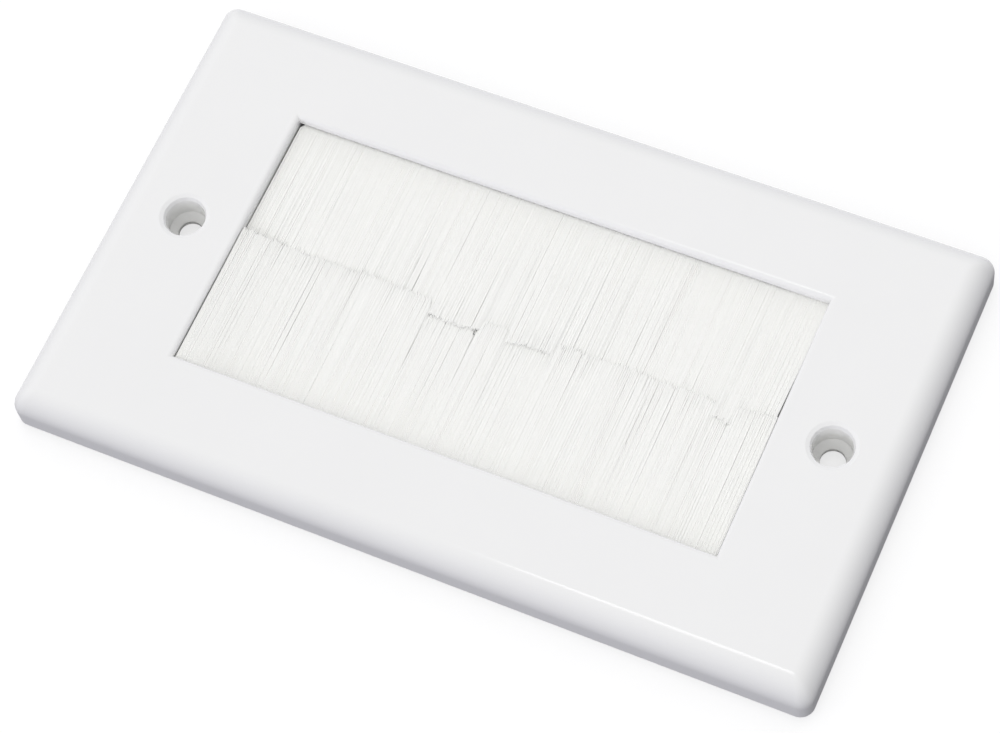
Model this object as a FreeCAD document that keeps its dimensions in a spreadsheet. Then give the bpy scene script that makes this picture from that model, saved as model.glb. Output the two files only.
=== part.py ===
import FreeCAD, Part
import math
import os
import Sketcher

# Brush cable grommet: a double-gang wall plate with a rectangular opening that two strip brushes close.
# Origin at the centre of the plate's rear plane, X along the plate, Y across it, +Z out of its face.

doc = FreeCAD.newDocument("brush_cable_grommet")

# Driving dimensions in millimetres
sizes = {
    # face plate
    "plate_width": 146.6,
    "plate_height": 86.8,
    "plate_depth": 8.7,
    "corner_radius": 2.5,
    "rim_radius": 4.3,
    "rear_chamfer": 0.9,
    "panel": 1.8,
    "skirt": 2.4,
    "hollow_corner": 1.5,
    # cable opening and the box of ribs behind it
    "opening_height": 50.0,
    "opening_lip": 0.8,
    "end_wall": 1.8,
    "pocket_rib": 1.5,
    # wall fixing screws
    "fixing_pitch": 120.6,
    "fixing_hole_radius": 2.2,
    "well_radius": 3.5,
    "well_depth": 4.8,
    "well_lip": 1.0,
    "fixing_boss_radius": 5.2,
    "fixing_boss_recess": 1.8,
    "link_rib": 1.2,
    # strip brush: folded channel, core wire and filaments
    "strip_length": 98.0,
    "strip_end_gap": 1.0,
    "strip_clearance": 0.1,
    "mouth_setback": 0.3,
    "channel_height": 6.4,
    "channel_thickness": 4.0,
    "channel_sheet": 0.5,
    "channel_bend": 1.0,
    "crimp": 0.35,
    "crimp_length": 1.4,
    "wire_radius": 0.6,
    "wire_wrap": 0.9,
    "filament_clearance": 0.05,
    "tuft_pairs": 47.0,
    "tuft_gap": 0.12,
    "tuft_stagger": 0.15,
    "tip_thickness": 0.9,
    "tip_split": 0.2,
    "tip_overlap": 1.8,
    "root_overlap": 0.6,
    # clamp strips and their screws
    "clamp_thickness": 1.2,
    "clamp_corner": 2.5,
    "clamp_end": 3.2,
    "clamp_screw_inset": 5.0,
    "clamp_boss_radius": 3.0,
    "clamp_screw_radius": 1.25,
    "clamp_hole_clearance": 0.15,
    "clamp_head_radius": 2.15,
    "clamp_screw_length": 5.0,
    "thread_clearance": 0.05,
    "pilot_spare": 0.4,
    # how far a cutting profile runs past the solid
    "cut_margin": 2.0,
}

sheet = doc.addObject("Spreadsheet::Sheet", "Sizes")
for row, (alias, number) in enumerate(sizes.items(), 1):
    sheet.set(f"A{row}", alias)
    sheet.set(f"B{row}", str(number))
    sheet.setAlias(f"B{row}", alias)
doc.recompute()

# Places that several pieces share
panel_rear = "(Sizes.plate_depth - Sizes.panel)"
seat = f"({panel_rear} - Sizes.channel_thickness)"
mid_plane = f"({panel_rear} - Sizes.channel_thickness / 2)"
half_opening = "(Sizes.strip_length / 2 + Sizes.strip_end_gap)"
box_end = f"({half_opening} + Sizes.end_wall)"
mouth = "(Sizes.opening_height / 2 + Sizes.mouth_setback)"
channel_back = f"({mouth} + Sizes.channel_height)"
pocket_side = f"({channel_back} + Sizes.strip_clearance)"
box_side = f"({pocket_side} + Sizes.pocket_rib)"
clamp_rear = f"({seat} - Sizes.clamp_thickness)"
clamp_screw_x = f"({half_opening} + Sizes.clamp_screw_inset)"
clamp_screw_y = f"(({mouth} + {box_side}) / 2)"

tiny = 1e-4


def origin_plane(body, role):
    return [item for item in body.Origin.OriginFeatures if item.Role == role][0]


def new_sketch(body, name, role, height="0"):
    sketch = body.newObject("Sketcher::SketchObject", name)
    sketch.AttachmentSupport = [(origin_plane(body, role), "")]
    sketch.MapMode = "FlatFace"
    sketch.setExpression("AttachmentOffset.Base.z", height)
    return sketch


def pin_point(sketch, geometry, position, place):
    for kind, text in zip(("DistanceX", "DistanceY"), place):
        index = sketch.addConstraint(Sketcher.Constraint(kind, -1, 1, geometry, position, 1.0))
        sketch.setExpression(f"Constraints[{index}]", text)


def add_outline(sketch, corners):
    first = sketch.GeometryCount
    count = len(corners)
    turns = [k * math.tau / count for k in range(count)]
    start = [FreeCAD.Vector(math.cos(turn), math.sin(turn)) for turn in turns]
    for k in range(count):
        sketch.addGeometry(Part.LineSegment(start[k], start[(k + 1) % count]))
    for k in range(count):
        sketch.addConstraint(Sketcher.Constraint("Coincident", first + k, 2, first + (k + 1) % count, 1))
    for k, corner in enumerate(corners):
        pin_point(sketch, first + k, 1, corner)


def add_rectangle(sketch, x_low, x_high, y_low, y_high):
    add_outline(sketch, [(x_low, y_low), (x_high, y_low), (x_high, y_high), (x_low, y_high)])


def add_centred_rectangle(sketch, half_x, half_y):
    add_rectangle(sketch, f"-{half_x}", half_x, f"-{half_y}", half_y)


def add_circle(sketch, place, radius):
    index = sketch.addGeometry(Part.Circle(FreeCAD.Vector(0, 0), FreeCAD.Vector(0, 0, 1), 1.0))
    pin_point(sketch, index, 3, place)
    bound = sketch.addConstraint(Sketcher.Constraint("Radius", index, 1.0))
    sketch.setExpression(f"Constraints[{bound}]", radius)


def add_feature(body, kind, name, profile, length=None, reverse=False):
    feature = body.newObject(f"PartDesign::{kind}", name)
    feature.Profile = profile
    feature.Reversed = reverse
    if length is None:
        feature.Type = "ThroughAll"
    else:
        feature.setExpression("Length", length)
    doc.recompute()
    return feature


def pad_along_strip(body, name, profile):
    pad = body.newObject("PartDesign::Pad", name)
    pad.Profile = profile
    pad.Midplane = True
    pad.setExpression("Length", "Sizes.strip_length")
    doc.recompute()
    return pad


def round_edges(body, kind, name, size_property, size, wanted):
    base = body.Tip
    edges = [f"Edge{k}" for k, edge in enumerate(base.Shape.Edges, 1) if wanted(edge)]
    feature = body.newObject(f"PartDesign::{kind}", name)
    feature.Base = (base, edges)
    feature.setExpression(size_property, size)
    doc.recompute()
    return feature


def fillet(body, name, radius, wanted):
    return round_edges(body, "Fillet", name, "Radius", radius, wanted)


def upright_at(half_x, half_y):
    def wanted(edge):
        box = edge.BoundBox
        at_corner = abs(abs(box.Center.x) - half_x) < tiny and abs(abs(box.Center.y) - half_y) < tiny
        return at_corner and box.ZLength > tiny
    return wanted


def rim_form(body):
    # Full round rim, carried round the four mitred corners, and a chamfered rear edge
    depth = sheet.plate_depth
    blank = new_sketch(body, "BlankOutline", "XY_Plane")
    add_centred_rectangle(blank, "Sizes.plate_width / 2", "Sizes.plate_height / 2")
    add_feature(body, "Pad", "Blank", blank, "Sizes.plate_depth")
    fillet(body, "RimRound", "Sizes.rim_radius", lambda edge: edge.BoundBox.ZMin > depth - tiny)
    fillet(body, "Corners", "Sizes.corner_radius", lambda edge: edge.BoundBox.ZLength > tiny)
    round_edges(body, "Chamfer", "RearEdge", "Size", "Sizes.rear_chamfer",
                lambda edge: edge.BoundBox.ZMax < tiny)


def rear_form(body):
    # Hollow back with its skirt, the rib box that takes the strips, and the screw bosses
    hollow = new_sketch(body, "HollowOutline", "XY_Plane")
    hollow_x = "(Sizes.plate_width / 2 - Sizes.skirt)"
    hollow_y = "(Sizes.plate_height / 2 - Sizes.skirt)"
    add_centred_rectangle(hollow, hollow_x, hollow_y)
    add_feature(body, "Pocket", "Hollow", hollow, panel_rear, reverse=True)
    inner = upright_at(sheet.plate_width / 2 - sheet.skirt, sheet.plate_height / 2 - sheet.skirt)
    fillet(body, "HollowCorners", "Sizes.hollow_corner", inner)

    ribs = new_sketch(body, "RibBoxOutline", "XY_Plane", seat)
    add_centred_rectangle(ribs, box_end, box_side)
    add_centred_rectangle(ribs, half_opening, pocket_side)
    add_feature(body, "Pad", "RibBox", ribs, f"({panel_rear} - {seat})")

    links = new_sketch(body, "LinkRibOutline", "XY_Plane", seat)
    add_rectangle(links, box_end, hollow_x, "-Sizes.link_rib / 2", "Sizes.link_rib / 2")
    add_rectangle(links, f"-{hollow_x}", f"-{box_end}", "-Sizes.link_rib / 2", "Sizes.link_rib / 2")
    add_feature(body, "Pad", "LinkRibs", links, f"({panel_rear} - {seat})")

    fixing = new_sketch(body, "FixingBossOutline", "XY_Plane", "Sizes.fixing_boss_recess")
    for sign in ("", "-"):
        add_circle(fixing, (f"{sign}Sizes.fixing_pitch / 2", "0"), "Sizes.fixing_boss_radius")
    add_feature(body, "Pad", "FixingBosses", fixing, f"({panel_rear} - Sizes.fixing_boss_recess)")

    clamping = new_sketch(body, "ClampBossOutline", "XY_Plane", seat)
    for place in clamp_screw_places:
        add_circle(clamping, place, "Sizes.clamp_boss_radius")
    add_feature(body, "Pad", "ClampBosses", clamping, f"({panel_rear} - {seat})")


def cable_opening(body):
    outline = new_sketch(body, "OpeningOutline", "XY_Plane")
    add_centred_rectangle(outline, half_opening, "(Sizes.opening_height / 2)")
    add_feature(body, "Pocket", "Opening", outline, reverse=True)


def fixing_wells(body):
    # Sunk seat for a countersunk wall screw: straight well, 90 degree cone, clearance hole
    profile = new_sketch(body, "WellProfile", "XZ_Plane")
    profile.setExpression("AttachmentOffset.Base.x", "Sizes.fixing_pitch / 2")
    well_floor = "(Sizes.plate_depth - Sizes.well_depth)"
    cone_end = f"({well_floor} - Sizes.well_radius + Sizes.fixing_hole_radius)"
    top = "Sizes.plate_depth + Sizes.cut_margin"
    lip_step = "Sizes.well_lip * (1 - sqrt(0.5))"
    add_outline(profile, [
        ("0", "-Sizes.cut_margin"),
        ("Sizes.fixing_hole_radius", "-Sizes.cut_margin"),
        ("Sizes.fixing_hole_radius", cone_end),
        ("Sizes.well_radius", well_floor),
        ("Sizes.well_radius", "Sizes.plate_depth - Sizes.well_lip"),
        (f"Sizes.well_radius + {lip_step}", f"Sizes.plate_depth - {lip_step}"),
        ("Sizes.well_radius + Sizes.well_lip", "Sizes.plate_depth"),
        ("Sizes.well_radius + Sizes.well_lip", top),
        ("0", top),
    ])
    well = body.newObject("PartDesign::Groove", "Well")
    well.Profile = profile
    well.ReferenceAxis = (profile, ["V_Axis"])
    doc.recompute()
    pair = body.newObject("PartDesign::Mirrored", "WellPair")
    pair.Originals = [well]
    pair.MirrorPlane = (origin_plane(body, "YZ_Plane"), [""])
    body.Tip = pair
    doc.recompute()


def pilot_holes(body):
    outline = new_sketch(body, "PilotOutline", "XY_Plane", seat)
    for place in clamp_screw_places:
        add_circle(outline, place, "Sizes.clamp_screw_radius + Sizes.thread_clearance")
    depth = "Sizes.clamp_screw_length - Sizes.clamp_thickness + Sizes.pilot_spare"
    add_feature(body, "Pocket", "PilotHoles", outline, depth, reverse=True)


def opening_lip(body):
    reach_x = sheet.strip_length / 2 + sheet.strip_end_gap + tiny
    reach_y = sheet.opening_height / 2 + tiny

    def opening_mouth(edge):
        box = edge.BoundBox
        within = box.XMax < reach_x and box.XMin > -reach_x and abs(box.Center.y) < reach_y
        return within and box.ZMin > sheet.plate_depth - tiny

    fillet(body, "OpeningLip", "Sizes.opening_lip", opening_mouth)


def make_face_plate():
    body = doc.addObject("PartDesign::Body", "FacePlate")
    rim_form(body)
    rear_form(body)
    cable_opening(body)
    fixing_wells(body)
    pilot_holes(body)
    opening_lip(body)
    return body


def make_channel(name):
    # Folded sheet channel: a flat back, two flanges and a mouth crimped on to the filaments
    body = doc.addObject("PartDesign::Body", name)
    profile = new_sketch(body, "Section", "YZ_Plane")
    knee = f"({mouth} + Sizes.crimp_length)"
    outer = "Sizes.channel_thickness / 2"
    inner = f"({outer} - Sizes.channel_sheet)"
    inner_back = f"({channel_back} - Sizes.channel_sheet)"
    front_half = [
        (mouth, f"{outer} - Sizes.crimp"),
        (knee, outer),
        (channel_back, outer),
    ]
    front_half_inside = [
        (inner_back, inner),
        (knee, inner),
        (mouth, f"{inner} - Sizes.crimp"),
    ]
    corners = [(y, f"{mid_plane} + {z}") for y, z in front_half]
    corners += [(y, f"{mid_plane} - ({z})") for y, z in reversed(front_half)]
    corners += [(y, f"{mid_plane} - ({z})") for y, z in reversed(front_half_inside)]
    corners += [(y, f"{mid_plane} + {z}") for y, z in front_half_inside]
    add_outline(profile, corners)
    pad_along_strip(body, "Fold", profile)
    back = sheet.opening_height / 2 + sheet.mouth_setback + sheet.channel_height

    def along_back(place):
        return lambda edge: edge.BoundBox.XLength > tiny and abs(edge.BoundBox.Center.y - place) < tiny

    fillet(body, "OuterBends", "Sizes.channel_bend + Sizes.channel_sheet", along_back(back))
    fillet(body, "InnerBends", "Sizes.channel_bend", along_back(back - sheet.channel_sheet))
    return body


wire_centre = (f"({channel_back} - Sizes.channel_sheet - Sizes.wire_wrap - Sizes.wire_radius)", mid_plane)


def make_core_wire(name):
    body = doc.addObject("PartDesign::Body", name)
    profile = new_sketch(body, "Section", "YZ_Plane")
    add_circle(profile, wire_centre, "Sizes.wire_radius")
    pad_along_strip(body, "Wire", profile)
    return body


# Trim line of each brush: place along the strip as a share of its length, and how far tips fall short
upper_trim = [(-0.5, 0.0), (-0.31, 0.3), (-0.12, 0.1), (0.08, 0.5), (0.27, 0.2), (0.5, 0.0)]
lower_trim = [
    (-0.5, 0.0), (-0.44, 0.1), (-0.43, 2.2), (-0.405, 2.3), (-0.395, 0.2), (-0.105, 0.3),
    (-0.095, 1.6), (-0.025, 1.8), (-0.015, 0.7), (0.035, 0.6), (0.045, 2.6), (0.135, 2.4),
    (0.145, 0.1), (0.3, 0.4), (0.5, 0.0),
]


def make_bristles(name, tip_side, trim):
    # Filaments folded round the core wire, gripped in the channel and parted into tufts up to their tips
    body = doc.addObject("PartDesign::Body", name)
    root = new_sketch(body, "RootSection", "YZ_Plane")
    knee = f"({mouth} + Sizes.crimp_length)"
    fold_back = f"({channel_back} - Sizes.channel_sheet - Sizes.filament_clearance)"
    belly = "(Sizes.channel_thickness / 2 - Sizes.channel_sheet - Sizes.filament_clearance)"
    throat = f"({belly} - Sizes.crimp)"
    half = [(mouth, throat), (knee, belly), (fold_back, belly)]
    corners = [(y, f"{mid_plane} + {z}") for y, z in half]
    corners += [(y, f"{mid_plane} - {z}") for y, z in reversed(half)]
    add_outline(root, corners)
    add_circle(root, wire_centre, "Sizes.wire_radius + Sizes.filament_clearance")
    pad_along_strip(body, "Root", root)
    back = sheet.opening_height / 2 + sheet.mouth_setback + sheet.channel_height
    back -= sheet.channel_sheet + sheet.filament_clearance
    fillet(body, "RootBends", "Sizes.channel_bend - Sizes.filament_clearance",
           lambda edge: edge.BoundBox.XLength > tiny and abs(edge.BoundBox.Center.y - back) < tiny)

    pitch = "(Sizes.strip_length / (2 * Sizes.tuft_pairs))"
    gripped = f"({mouth} + Sizes.root_overlap)"
    near_tip = f"{mid_plane} {tip_side} Sizes.tip_split"
    far_tip = f"{near_tip} {tip_side} Sizes.tip_thickness"
    front_tip, rear_tip = (near_tip, far_tip) if tip_side == "-" else (far_tip, near_tip)
    for row_name, first_tuft, sink in (("Proud", "0.5", "0"), ("Sunk", "1.5", "Sizes.tuft_stagger")):
        middle = f"{first_tuft} * {pitch} - Sizes.strip_length / 2"
        side = new_sketch(body, f"{row_name}TuftSide", "YZ_Plane", middle)
        add_outline(side, [
            (gripped, f"{mid_plane} - {throat}"),
            (gripped, f"{mid_plane} + {throat} - {sink}"),
            ("-Sizes.tip_overlap", f"{front_tip} - {sink}"),
            ("-Sizes.tip_overlap", rear_tip),
        ])
        tuft = body.newObject("PartDesign::Pad", f"{row_name}Tuft")
        tuft.Profile = side
        tuft.Midplane = True
        tuft.setExpression("Length", f"{pitch} - Sizes.tuft_gap")
        doc.recompute()
        row = body.newObject("PartDesign::LinearPattern", f"{row_name}TuftRow")
        row.Originals = [tuft]
        row.Direction = (origin_plane(body, "YZ_Plane"), [""])
        row.setExpression("Length", f"Sizes.strip_length - 2 * {pitch}")
        row.setExpression("Occurrences", "Sizes.tuft_pairs")
        body.Tip = row
        doc.recompute()

    shears = new_sketch(body, "TrimLine", "XY_Plane")
    line = [(f"{share} * (Sizes.strip_length + Sizes.cut_margin)", f"{short} - Sizes.tip_overlap")
            for share, short in trim]
    past_tips = "-(Sizes.tip_overlap + Sizes.cut_margin)"
    ends = [(line[-1][0], past_tips), (line[0][0], past_tips)]
    add_outline(shears, line + ends)
    add_feature(body, "Pocket", "TipTrim", shears, reverse=True)
    return body


def make_clamp_strip(name):
    body = doc.addObject("PartDesign::Body", name)
    outline = new_sketch(body, "Outline", "XY_Plane", clamp_rear)
    half_length = f"({clamp_screw_x} + Sizes.clamp_end)"
    add_rectangle(outline, f"-{half_length}", half_length, mouth, box_side)
    add_feature(body, "Pad", "Strip", outline, "Sizes.clamp_thickness")
    fillet(body, "Corners", "Sizes.clamp_corner",
           lambda edge: edge.BoundBox.ZLength > tiny)
    holes = new_sketch(body, "HoleOutline", "XY_Plane", clamp_rear)
    hole_radius = "Sizes.clamp_screw_radius + Sizes.clamp_hole_clearance"
    for sign in ("", "-"):
        add_circle(holes, (f"{sign}{clamp_screw_x}", clamp_screw_y), hole_radius)
    add_feature(body, "Pocket", "Holes", holes, reverse=True)
    rear = body.Shape.BoundBox.ZMin
    hole_span = 2 * (sheet.clamp_screw_radius + sheet.clamp_hole_clearance)

    def hole_mouth(edge):
        return edge.BoundBox.ZMax < rear + tiny and abs(edge.BoundBox.XLength - hole_span) < tiny

    head_depth = "Sizes.clamp_head_radius - Sizes.clamp_screw_radius"
    round_edges(body, "Chamfer", "Countersinks", "Size", head_depth, hole_mouth)
    return body


def make_clamp_screw(name, place):
    # Countersunk head and a shank at its thread's outer size
    head_height = "(Sizes.clamp_head_radius - Sizes.clamp_screw_radius)"
    head = doc.addObject("Part::Cone", f"{name}Head")
    head.setExpression("Radius1", "Sizes.clamp_head_radius")
    head.setExpression("Radius2", "Sizes.clamp_screw_radius")
    head.setExpression("Height", head_height)
    shank = doc.addObject("Part::Cylinder", f"{name}Shank")
    shank.setExpression("Radius", "Sizes.clamp_screw_radius")
    shank.setExpression("Height", "Sizes.clamp_screw_length")
    screw = doc.addObject("Part::MultiFuse", name)
    screw.Shapes = [head, shank]
    screw.setExpression("Placement.Base.x", place[0])
    screw.setExpression("Placement.Base.y", place[1])
    screw.setExpression("Placement.Base.z", clamp_rear)
    return screw


def turned_half(body):
    # The lower strip is the upper one turned half round about the plate's axis
    half_turn = FreeCAD.Rotation(FreeCAD.Vector(0, 0, 1), 180)
    body.Placement = FreeCAD.Placement(FreeCAD.Vector(0, 0, 0), half_turn)
    return body


clamp_screw_places = [(f"{side_x}{clamp_screw_x}", f"{side_y}{clamp_screw_y}")
                      for side_x in ("", "-") for side_y in ("", "-")]
screws = doc.addObject("Part::Compound", "ClampScrews")
screws.Links = [make_clamp_screw(f"ClampScrew{k}", place) for k, place in enumerate(clamp_screw_places, 1)]

pieces = {
    "face_plate": make_face_plate(),
    "upper_brush_channel": make_channel("UpperChannel"),
    "lower_brush_channel": turned_half(make_channel("LowerChannel")),
    "upper_core_wire": make_core_wire("UpperWire"),
    "lower_core_wire": turned_half(make_core_wire("LowerWire")),
    "upper_bristles": make_bristles("UpperBristles", "-", upper_trim),
    "lower_bristles": turned_half(make_bristles("LowerBristles", "+", lower_trim)),
    "upper_clamp_strip": make_clamp_strip("UpperClamp"),
    "lower_clamp_strip": turned_half(make_clamp_strip("LowerClamp")),
    "clamp_screws": screws,
}
doc.recompute()

failed = [item.Name for item in doc.Objects if "Invalid" in item.State or "Error" in item.State]
if failed:
    raise RuntimeError(f"objects that failed: {failed}")
for label, piece in pieces.items():
    piece.Label = label
    if piece.Shape.isNull() or not piece.Shape.isValid():
        raise RuntimeError(f"{label} has no valid shape")

os.makedirs("parts", exist_ok=True)
for label, piece in pieces.items():
    piece.Shape.exportStep(f"parts/{label}.step")
    print(label, len(piece.Shape.Solids), round(piece.Shape.Volume, 1), piece.Shape.BoundBox)
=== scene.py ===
import bisect
import math
import random

import bmesh
import bpy
from mathutils import Matrix, Vector


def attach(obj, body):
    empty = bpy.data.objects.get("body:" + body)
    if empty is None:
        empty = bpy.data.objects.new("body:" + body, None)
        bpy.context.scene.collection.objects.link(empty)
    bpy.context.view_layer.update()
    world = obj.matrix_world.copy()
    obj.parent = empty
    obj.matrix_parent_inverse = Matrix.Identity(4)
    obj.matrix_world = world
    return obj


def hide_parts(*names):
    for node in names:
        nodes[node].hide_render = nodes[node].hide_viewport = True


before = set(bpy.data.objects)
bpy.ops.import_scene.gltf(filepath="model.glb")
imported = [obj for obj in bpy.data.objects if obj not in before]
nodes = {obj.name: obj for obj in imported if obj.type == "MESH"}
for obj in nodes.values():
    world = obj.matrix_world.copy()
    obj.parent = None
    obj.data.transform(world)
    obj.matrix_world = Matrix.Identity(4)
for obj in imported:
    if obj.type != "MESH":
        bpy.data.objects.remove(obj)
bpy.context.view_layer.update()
scene = bpy.context.scene
scene.view_settings.view_transform = "Standard"
mm = 0.001
touching = 1e-6  # in metres
print("frame loaded:", len(nodes), "nodes")


# Shader helpers

def addNode(tree, kind, inputs=None, **settings):
    node = tree.nodes.new(kind)
    for key, value in settings.items():
        setattr(node, key, value)
    for key, value in (inputs or {}).items():
        if isinstance(value, bpy.types.NodeSocket):
            tree.links.new(value, node.inputs[key])
        else:
            node.inputs[key].default_value = value
    return node


def newMaterial(name):
    material = bpy.data.materials.new(name)
    material.use_nodes = True
    tree = material.node_tree
    shader = tree.nodes["Principled BSDF"]
    coords = addNode(tree, "ShaderNodeTexCoord").outputs["Object"]
    return material, tree, shader, coords


def setInputs(shader, **values):
    for key, value in values.items():
        shader.inputs[key.replace("_", " ")].default_value = value


def coverWith(material, *objects):
    for piece in objects:
        piece.data.materials.clear()
        piece.data.materials.append(material)


noises = {"Cloud": {"Detail": 4.0, "Roughness": 0.6}, "Grain": {"Detail": 2.0, "Roughness": 0.5}}
cloudRange = {"From Min": 0.3, "From Max": 0.7}


def makeSurfaceMarks():
    # cloudy tint and gloss changes with a fine grain on top, for every finish here
    group = bpy.data.node_groups.new("surfaceMarks", "ShaderNodeTree")
    sockets = {"INPUT": {"Vector": "Vector", "Cloud Scale": "Float", "Grain Scale": "Float", "Light Tint": "Color",
                         "Dark Tint": "Color", "Low Roughness": "Float", "High Roughness": "Float"},
               "OUTPUT": {"Color": "Color", "Roughness": "Float", "Height": "Float"}}
    for way, kinds in sockets.items():
        for label, kind in kinds.items():
            group.interface.new_socket(label, in_out=way, socket_type="NodeSocket" + kind)
    entry = addNode(group, "NodeGroupInput").outputs
    cloud, grain = [addNode(group, "ShaderNodeTexNoise", {"Vector": entry["Vector"], "Scale": entry[kind + " Scale"],
                                                          **noise}).outputs["Fac"]
                    for kind, noise in noises.items()]
    spread = addNode(group, "ShaderNodeMapRange", {"Value": cloud, **cloudRange})
    tint = addNode(group, "ShaderNodeMix", {0: spread.outputs["Result"], 6: entry["Dark Tint"],
                                            7: entry["Light Tint"]}, data_type="RGBA")
    gloss = addNode(group, "ShaderNodeMapRange", {"Value": cloud, **cloudRange, "To Min": entry["High Roughness"],
                                                  "To Max": entry["Low Roughness"]})
    addNode(group, "NodeGroupOutput", {"Color": tint.outputs[2], "Roughness": gloss.outputs["Result"],
                                       "Height": grain})
    return group


surfaceMarks = makeSurfaceMarks()


def addMarks(tree, shader, coords, finish):
    node = addNode(tree, "ShaderNodeGroup", {"Vector": coords, **finish["marks"]}, node_tree=surfaceMarks)
    tree.links.new(node.outputs["Color"], shader.inputs["Base Color"])
    tree.links.new(node.outputs["Roughness"], shader.inputs["Roughness"])
    relief = addNode(tree, "ShaderNodeBump", {"Height": node.outputs["Height"], "Strength": finish["bump"],
                                              "Distance": finish["grainDepth"]})
    tree.links.new(relief.outputs["Normal"], shader.inputs["Normal"])


# Finishes

moulding = {"marks": {"Cloud Scale": 55.0, "Grain Scale": 800.0, "Light Tint": (0.847, 0.847, 0.836, 1),
                      "Dark Tint": (0.837, 0.837, 0.826, 1), "Low Roughness": 0.45, "High Roughness": 0.6},
            "bump": 0.02, "grainDepth": 0.0001, "polish": 0.08, "polishIor": 1.5,
            "polishFade": (0.0051, 0.0066)}  # heights on the rim's round between which the polish comes in


def whiteMoulding():
    material, tree, shader, coords = newMaterial("whiteMoulding")
    addMarks(tree, shader, coords, moulding)
    height = addNode(tree, "ShaderNodeSeparateXYZ", {0: coords}).outputs["Z"]
    low, high = moulding["polishFade"]
    polish = addNode(tree, "ShaderNodeMapRange", {"Value": height, "From Min": low, "From Max": high})
    tree.links.new(polish.outputs["Result"], shader.inputs["Coat Weight"])
    setInputs(shader, Specular_IOR_Level=0.0, Coat_Roughness=moulding["polish"], Coat_IOR=moulding["polishIor"])
    return material


filament = {"marks": {"Cloud Scale": 50.0, "Grain Scale": 400.0, "Light Tint": (0.934, 0.934, 0.912, 1),
                      "Dark Tint": (0.914, 0.914, 0.887, 1), "Low Roughness": 0.45, "High Roughness": 0.55},
            "bump": 0.1, "grainDepth": 0.00002, "ior": 1.53,
            "stretch": (60.0, 0.5, 60.0)}  # the marks run along the filaments


def whiteFilament():
    material, tree, shader, coords = newMaterial("whiteFilament")
    along = addNode(tree, "ShaderNodeMapping", {"Vector": coords, "Scale": filament["stretch"]})
    addMarks(tree, shader, along.outputs["Vector"], filament)
    setInputs(shader, IOR=filament["ior"])
    return material


sheet = {"marks": {"Cloud Scale": 140.0, "Grain Scale": 700.0, "Light Tint": (0.62, 0.64, 0.66, 1),
                   "Dark Tint": (0.5, 0.52, 0.54, 1), "Low Roughness": 0.28, "High Roughness": 0.45},
         "bump": 0.1, "grainDepth": 0.0001}
wire = {"marks": {"Cloud Scale": 300.0, "Grain Scale": 2000.0, "Light Tint": (0.5, 0.5, 0.5, 1),
                  "Dark Tint": (0.38, 0.38, 0.39, 1), "Low Roughness": 0.25, "High Roughness": 0.4},
        "bump": 0.1, "grainDepth": 0.0001}
plating = {"marks": {"Cloud Scale": 250.0, "Grain Scale": 1800.0, "Light Tint": (0.72, 0.73, 0.75, 1),
                     "Dark Tint": (0.6, 0.61, 0.63, 1), "Low Roughness": 0.18, "High Roughness": 0.3},
           "bump": 0.06, "grainDepth": 0.0001}


def bareMetal(name, finish):
    material, tree, shader, coords = newMaterial(name)
    addMarks(tree, shader, coords, finish)
    setInputs(shader, Metallic=1.0)
    return material


mouldingWhite = whiteMoulding()
filamentWhite = whiteFilament()
galvanised = bareMetal("galvanisedSheet", sheet)
drawnWire = bareMetal("steelWire", wire)
zincPlate = bareMetal("platedScrew", plating)
coverWith(mouldingWhite, nodes["face_plate"])
for rowName in ("upper", "lower"):
    coverWith(galvanised, nodes[rowName + "_brush_channel"], nodes[rowName + "_clamp_strip"])
    coverWith(drawnWire, nodes[rowName + "_core_wire"])
print("finishes made")


# Clamp screws in mm, where the CAD has them, with a cross recess

screw = {"headRadius": 2.15, "radius": 1.25, "headHeight": 0.9, "length": 5.0, "endBevel": 0.25, "segments": 40,
         "sharpAngle": 35}
recess = {"across": 2.5, "width": 0.62, "deep": 0.8, "floorShare": 0.45, "clear": 0.1}


def screwPlaces():
    # the middle of each head's outer face
    corners = [v.co for v in nodes["clamp_screws"].data.vertices]
    for sideX in (-1, 1):
        for sideY in (-1, 1):
            own = [c for c in corners if c.x * sideX > 0 and c.y * sideY > 0]
            yield Vector([(min(c[k] for c in own) + max(c[k] for c in own)) / 2 for k in (0, 1)]
                         + [min(c.z for c in own)])


def addBlank(form):
    joint, end = screw["headHeight"] * mm, screw["length"] * mm
    for bottom, low, high in (("headRadius", 0, joint), ("radius", joint, end)):
        bmesh.ops.create_cone(form, cap_ends=True, segments=screw["segments"], radius1=screw[bottom] * mm,
                              radius2=screw["radius"] * mm, depth=high - low,
                              matrix=Matrix.Translation((0, 0, (low + high) / 2)))
    inner = [f for f in form.faces if all(abs(v.co.z - joint) < touching for v in f.verts)]
    bmesh.ops.delete(form, geom=inner, context="FACES_ONLY")
    bmesh.ops.remove_doubles(form, verts=form.verts, dist=touching)
    rim = [e for e in form.edges if all(abs(v.co.z - end) < touching for v in e.verts)]
    bmesh.ops.bevel(form, geom=rim, offset=screw["endBevel"] * mm, segments=1, affect="EDGES")


def addCross(form):
    # a grid of three by three without its corners, drawn down to a smaller floor
    bmesh.ops.create_grid(form, x_segments=3, y_segments=3, size=1)
    halfway = 0.5
    corners = [f for f in form.faces if min(abs(c) for c in f.calc_center_median()[:2]) > halfway]
    bmesh.ops.delete(form, geom=corners, context="FACES")
    for v in form.verts:
        reach = [recess["across" if abs(c) > halfway else "width"] / 2 * mm for c in v.co[:2]]
        v.co = (math.copysign(reach[0], v.co.x), math.copysign(reach[1], v.co.y), -recess["clear"] * mm)
    grown = bmesh.ops.extrude_face_region(form, geom=form.faces[:])["geom"]
    for v in [item for item in grown if isinstance(item, bmesh.types.BMVert)]:
        v.co = (v.co.x * recess["floorShare"], v.co.y * recess["floorShare"], recess["deep"] * mm)


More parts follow.
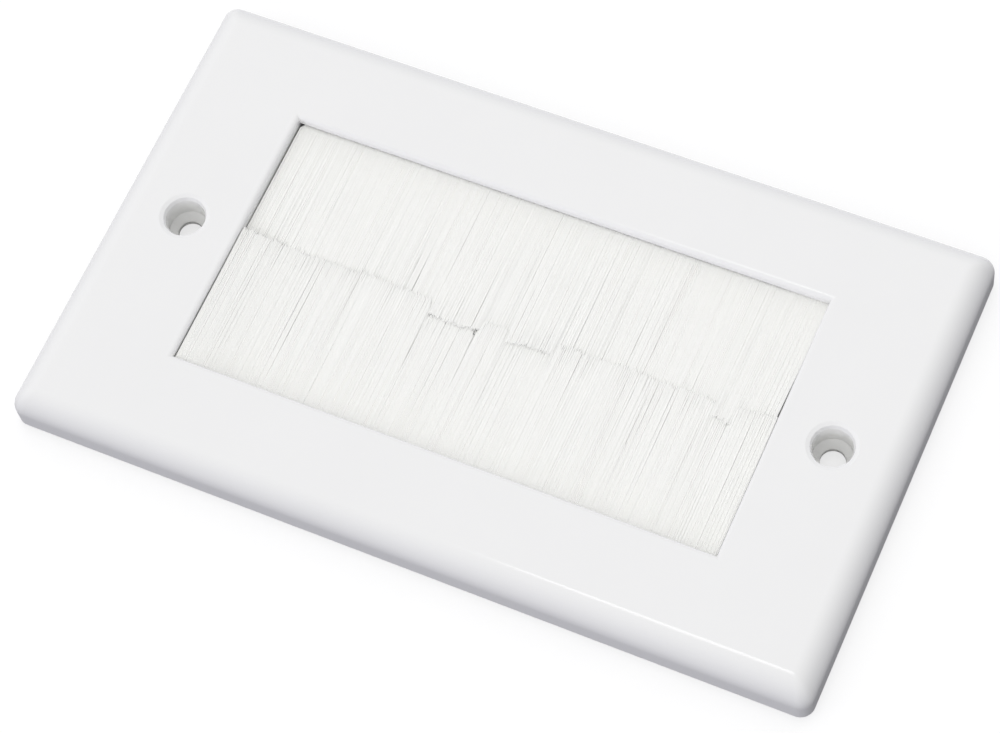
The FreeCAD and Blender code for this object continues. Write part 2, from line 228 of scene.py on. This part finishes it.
def solidFrom(name, shape):
    form = bmesh.new()
    shape(form)
    bmesh.ops.recalc_face_normals(form, faces=form.faces)
    mesh = bpy.data.meshes.new(name)
    form.to_mesh(mesh)
    form.free()
    piece = bpy.data.objects.new(name, mesh)
    scene.collection.objects.link(piece)
    return piece


def makeScrews():
    blank, cutter = solidFrom("screwBlank", addBlank), solidFrom("crossCutter", addCross)
    cut = blank.modifiers.new("recess", "BOOLEAN")
    cut.operation, cut.solver, cut.object = "DIFFERENCE", "EXACT", cutter
    single = bpy.data.meshes.new_from_object(blank.evaluated_get(bpy.context.evaluated_depsgraph_get()))
    form = bmesh.new()
    for place in screwPlaces():
        count = len(form.verts)
        form.from_mesh(single)
        form.verts.ensure_lookup_table()
        bmesh.ops.translate(form, verts=form.verts[count:], vec=place)
    mesh = bpy.data.meshes.new("clampScrews")
    form.to_mesh(mesh)
    form.free()
    for spare in (blank.data, cutter.data, single):
        bpy.data.meshes.remove(spare)
    mesh.shade_smooth()
    mesh.set_sharp_from_angle(angle=math.radians(screw["sharpAngle"]))
    piece = bpy.data.objects.new("clampScrews", mesh)
    scene.collection.objects.link(piece)
    coverWith(zincPlate, piece)
    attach(piece, "root")
    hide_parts("clamp_screws")
    print("clampScrews made:", len(mesh.polygons), "faces")


makeScrews()


# Brush filaments, in mm until they are written. In each pair the first value is the left end's.

brush = {"perLayer": 600, "layers": (0.02, 0.1, 0.36, 0.64, 0.9, 0.98), "layerScatter": 0.012, "stagger": 0.5,
         "pitchScatter": 0.2, "radius": 0.13, "tipThinning": 0.85, "halfLength": 48.9, "anchor": 27.4, "mouth": 25.3,
         "rootBand": (3.95, 5.85), "freeBand": (4.1, 6.86), "tipBand": 1.1, "tipMiddle": 6.2, "tipScatter": 0.22,
         "lap": 0.1, "notchLap": 0.12, "notchBlend": 0.5, "stray": 0.03, "bowScatter": 0.02, "flareReach": 12,
         "raiseReach": 8, "partingWidth": 0.8, "partingFront": 20, "partingCurve": 4, "leanCurve": 2.2,
         "spring": 0.006, "meetFrom": 0.15, "meetCurve": 1.6, "steps": (0.0, 0.006, 0.04, 0.5, 0.8, 1.0)}
tuftRanges = {"margin": 1, "width": (0.7, 2.4), "lean": 0.03, "lift": 0.03, "reach": 0.14, "pinch": (0.0, 0.013)}
notches = [(-12.6, -3.6), (1.7, 9.8), (39.4, 42.6)]  # here the upper tufts lie over the lower ones
upperBrush = {"side": 1, "seed": 11, "flare": (0.84, 0.95), "bend": (0.04, 0.006), "closing": (0.0, 0.55),
              "raise": (0.0, 0.1),
              "tips": [(-50, -1.0), (-14, -1.2), (-12, -1.0), (-8, -1.5), (-4, -1.0), (0, -1.3), (4, -0.9),
                       (9, -0.6), (12, -1.2), (38, -1.2), (41, -1.6), (50, -1.0)],
              "partings": [(-42.0, 0.1), (-24.3, 0.1), (-18.8, 0.4), (-17.6, 0.25), (1.4, 0.1), (10.6, 0.1),
                           (15.0, 0.1), (22.4, 0.12), (26.4, 0.1), (34.4, 0.1), (37.6, 0.1)]}
lowerBrush = {"side": -1, "seed": 23, "flare": (0.87, 0.77), "bend": (0.006, 0.006), "closing": (0.0, 0.0),
              "raise": (1.1, 0.1),
              "tips": [(-50, 1.9), (-38, 1.7), (-26, 1.9), (-13.6, 1.6), (-12.8, -1.4), (-12.0, -0.6), (-8, -0.9),
                       (-4.8, -0.8), (-4.1, -2.0), (-3.3, 0.9), (1.0, 1.1), (2.2, 0.0), (5.5, -0.3), (9.2, 0.2),
                       (11, 1.4), (22, 1.5), (38.6, 1.4), (39.8, -0.5), (42.2, -0.7), (43.2, 1.6), (50, 2.0)],
              "partings": [(-44.7, 0.1), (-42.0, 0.1), (-30.0, 0.25), (-13.0, 0.35), (-6.8, 0.12), (-3.9, 0.4),
                           (10.2, 0.12), (29.0, 0.12), (40.0, 0.15), (43.0, 0.12)]}


def between(line, x):
    n = min(max(bisect.bisect([p[0] for p in line], x), 1), len(line) - 1)
    (x0, y0), (x1, y1) = line[n - 1], line[n]
    return y0 + (y1 - y0) * min(max((x - x0) / (x1 - x0), 0), 1)


def lowerInFront(x):
    # 1 where the lower tips cover the upper ones, 0 in a notch
    blend = brush["notchBlend"]
    return min(min(max((start - x) / blend, (x - end) / blend, 0), 1) for start, end in notches)


def nearEnd(x, pair, reach):
    # the pair's left or right value, growing over the last of the strip's length
    share = max((abs(x) - brush["halfLength"] + reach) / reach, 0)
    return pair[x > 0] * share


def makeTufts(draw):
    edge = brush["halfLength"] + tuftRanges["margin"]
    tufts, x = [], -edge
    while x < edge:
        width = draw.uniform(*tuftRanges["width"])
        tuft = {"start": x, "middle": x + width / 2}
        for key in ("lean", "lift", "reach"):
            tuft[key] = draw.gauss(0, tuftRanges[key])
        tuft["pinch"] = draw.uniform(*tuftRanges["pinch"])
        tufts.append(tuft)
        x += width
    return tufts


def partingAt(x, depthShare, row):
    # how far a filament is pushed aside at its tip, in the front layers only
    total = 0
    for place, push in row["partings"]:
        away = x - place
        total += math.copysign(push, away) * math.exp(-abs(away) / brush["partingWidth"])
    return total * depthShare ** brush["partingFront"]


def filamentPath(draw, x, depthShare, tufts, row):
    side = row["side"]
    tuft = tufts[bisect.bisect([t["start"] for t in tufts], x) - 1]
    outward = math.copysign(1, x)
    closing, flare = (outward * nearEnd(x, row[key], brush["flareReach"]) for key in ("closing", "flare"))
    lean = tuft["lean"] + draw.gauss(0, brush["stray"]) - closing - (x - tuft["middle"]) * tuft["pinch"]
    parting = partingAt(x, depthShare, row)
    tipX = x + lean + parting + flare
    lap = side * (brush["notchLap"] - (brush["lap"] + brush["notchLap"]) * lowerInFront(tipX))
    tipZ = brush["tipMiddle"] + lap + (depthShare - 0.5) * brush["tipBand"]
    rootZ, freeZ = (low + (high - low) * depthShare for low, high in (brush["rootBand"], brush["freeBand"]))
    tipY = between(row["tips"], tipX) + (tuft["reach"] + draw.gauss(0, brush["tipScatter"])) * side
    lift = nearEnd(x, row["raise"], brush["raiseReach"])
    bow = tuft["lift"] + draw.gauss(0, brush["bowScatter"])
    mouthY = side * brush["mouth"]
    path = [(x, side * brush["anchor"], rootZ)]
    for share in brush["steps"]:
        spread = min(share / brush["spring"], 1)  # the filaments spring apart once out of the channel
        aside = min(share / row["bend"][x > 0], 1)
        later = max((share - brush["meetFrom"]) / (1 - brush["meetFrom"]), 0) ** brush["meetCurve"]
        z = rootZ + (freeZ - rootZ) * spread + (tipZ - freeZ) * later + bow * math.sin(math.pi * share)
        path.append((x + flare * aside + lean * share ** brush["leanCurve"] + parting * share ** brush["partingCurve"],
                     mouthY + (tipY - mouthY) * share, z + lift * aside))
    return path


def makeFilaments(name, node, row):
    draw = random.Random(row["seed"])
    curve = bpy.data.curves.new(name + "Curve", "CURVE")
    curve.dimensions = "3D"
    curve.bevel_depth = brush["radius"] * mm
    curve.bevel_resolution = 0
    curve.use_fill_caps = True
    pitch = 2 * brush["halfLength"] / brush["perLayer"]
    offPitch, offLayer = brush["pitchScatter"], brush["layerScatter"]
    for layer, depthShare in enumerate(brush["layers"]):
        tufts = makeTufts(draw)
        start = brush["stagger"] * (0.5 + layer % 2)
        for n in range(brush["perLayer"]):
            x = -brush["halfLength"] + pitch * (n + start + draw.uniform(-offPitch, offPitch))
            path = filamentPath(draw, x, depthShare + draw.uniform(-offLayer, offLayer), tufts, row)
            spline = curve.splines.new("POLY")
            spline.points.add(len(path) - 1)
            for point, place in zip(spline.points, path):
                point.co = (*[mm * c for c in place], 1)
            spline.points[-1].radius = brush["tipThinning"]
            spline.use_smooth = True
    holder = bpy.data.objects.new(name + "Curve", curve)
    mesh = bpy.data.meshes.new_from_object(holder)
    bpy.data.objects.remove(holder)
    bpy.data.curves.remove(curve)
    mesh.name = name
    piece = bpy.data.objects.new(name, mesh)
    scene.collection.objects.link(piece)
    coverWith(filamentWhite, piece)
    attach(piece, "root")
    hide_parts(node)
    mesh.calc_loop_triangles()
    print(name, "made:", len(mesh.loop_triangles), "triangles")


makeFilaments("upperFilaments", "upper_bristles", upperBrush)
makeFilaments("lowerFilaments", "lower_bristles", lowerBrush)


# Floor, light and camera

floorSet = {"size": 4.0, "color": (0.31, 0.31, 0.31, 1), "glow": 0.72, "bounce": (0.03, 0.03, 0.03, 1)}
tentSet = {"ambient": 0.904, "dimBelow": 0.22, "lowColor": (0.9, 0.885, 1.35, 1), "tintBelow": 0.4,
           "sides": {"X": (-0.3, -0.95), "Y": (1.0, 0.8)}}  # extra light from -X, +X, -Y and +Y
strip = {"place": (-0.145, 0.2, 1.2), "size": (0.29, 0.24), "power": 0.54}
viewpoint = {"place": (0.1435, -0.2042, 0.4850), "turn": (26.3975, 5.6889, 24.0989), "lens": 114.45, "sensor": 36,
             "clipStart": 0.01}


def addMath(tree, operation, first, second):
    return addNode(tree, "ShaderNodeMath", {0: first, 1: second}, operation=operation).outputs[0]


def addRange(tree, value, **ends):
    inputs = {key.replace("_", " "): end for key, end in ends.items()}
    return addNode(tree, "ShaderNodeMapRange", {"Value": value, **inputs}).outputs["Result"]


def seenDirectly(tree):
    # 1 for what the camera sees itself, in a gloss or through glass
    path = addNode(tree, "ShaderNodeLightPath").outputs
    either = addMath(tree, "MAXIMUM", path["Is Camera Ray"], path["Is Glossy Ray"])
    return addMath(tree, "MAXIMUM", either, path["Is Transmission Ray"])


def makeFloor():
    # pale where it is seen, and dark for the light that it would throw back on the part
    form = bmesh.new()
    bmesh.ops.create_grid(form, x_segments=1, y_segments=1, size=floorSet["size"])
    mesh = bpy.data.meshes.new("floor")
    form.to_mesh(mesh)
    form.free()
    floor = bpy.data.objects.new("floor", mesh)
    scene.collection.objects.link(floor)
    material = bpy.data.materials.new("paleFloor")
    material.use_nodes = True
    tree = material.node_tree
    tree.nodes.remove(tree.nodes["Principled BSDF"])
    pale = addNode(tree, "ShaderNodeBsdfDiffuse", {"Color": floorSet["color"]})
    glow = addNode(tree, "ShaderNodeEmission", {"Strength": floorSet["glow"]})
    seen = addNode(tree, "ShaderNodeAddShader", {0: pale.outputs[0], 1: glow.outputs[0]})
    unseen = addNode(tree, "ShaderNodeBsdfDiffuse", {"Color": floorSet["bounce"]})
    both = addNode(tree, "ShaderNodeMixShader", {0: seenDirectly(tree), 1: unseen.outputs[0], 2: seen.outputs[0]})
    tree.links.new(both.outputs[0], tree.nodes["Material Output"].inputs["Surface"])
    coverWith(material, floor)


def makeWorld():
    # even white where it is seen, and for the light on the part a soft tent,
    # dimmer on the right and near the horizon, where it is also slightly violet
    world = bpy.data.worlds.new("studio")
    world.use_nodes = True
    scene.world = world
    tree = world.node_tree
    coords = addNode(tree, "ShaderNodeTexCoord").outputs["Generated"]
    aim = addNode(tree, "ShaderNodeSeparateXYZ", {0: coords}).outputs
    seen = seenDirectly(tree)
    level = 1.0
    for axis, gains in tentSet["sides"].items():
        for end, gain in zip((-1, 1), gains):
            part = addRange(tree, aim[axis], From_Min=0, From_Max=end, To_Min=0, To_Max=gain)
            level = addMath(tree, "ADD", level, part)
    rise = addRange(tree, aim["Z"], From_Max=tentSet["dimBelow"], To_Max=tentSet["ambient"])
    strength = addRange(tree, seen, To_Min=addMath(tree, "MULTIPLY", level, rise), To_Max=1.0)
    plain = addMath(tree, "MAXIMUM", addRange(tree, aim["Z"], From_Max=tentSet["tintBelow"]), seen)
    color = addNode(tree, "ShaderNodeMix", {0: plain, 6: tentSet["lowColor"], 7: (1, 1, 1, 1)}, data_type="RGBA")
    back = tree.nodes["Background"]
    tree.links.new(color.outputs[2], back.inputs["Color"])
    tree.links.new(strength, back.inputs["Strength"])


def makeLamp():
    data = bpy.data.lights.new("strip", "AREA")
    data.shape = "ELLIPSE"
    data.size, data.size_y = strip["size"]
    data.energy = strip["power"]
    lamp = bpy.data.objects.new("strip", data)
    lamp.location = strip["place"]
    scene.collection.objects.link(lamp)


def makeCamera():
    data = bpy.data.cameras.new("camera")
    data.lens = viewpoint["lens"]
    data.sensor_width = viewpoint["sensor"]
    data.clip_start = viewpoint["clipStart"]
    camera = bpy.data.objects.new("camera", data)
    camera.location = viewpoint["place"]
    camera.rotation_euler = [math.radians(a) for a in viewpoint["turn"]]
    scene.collection.objects.link(camera)
    scene.camera = camera


makeFloor()
makeWorld()
makeLamp()
makeCamera()
print("stage set")
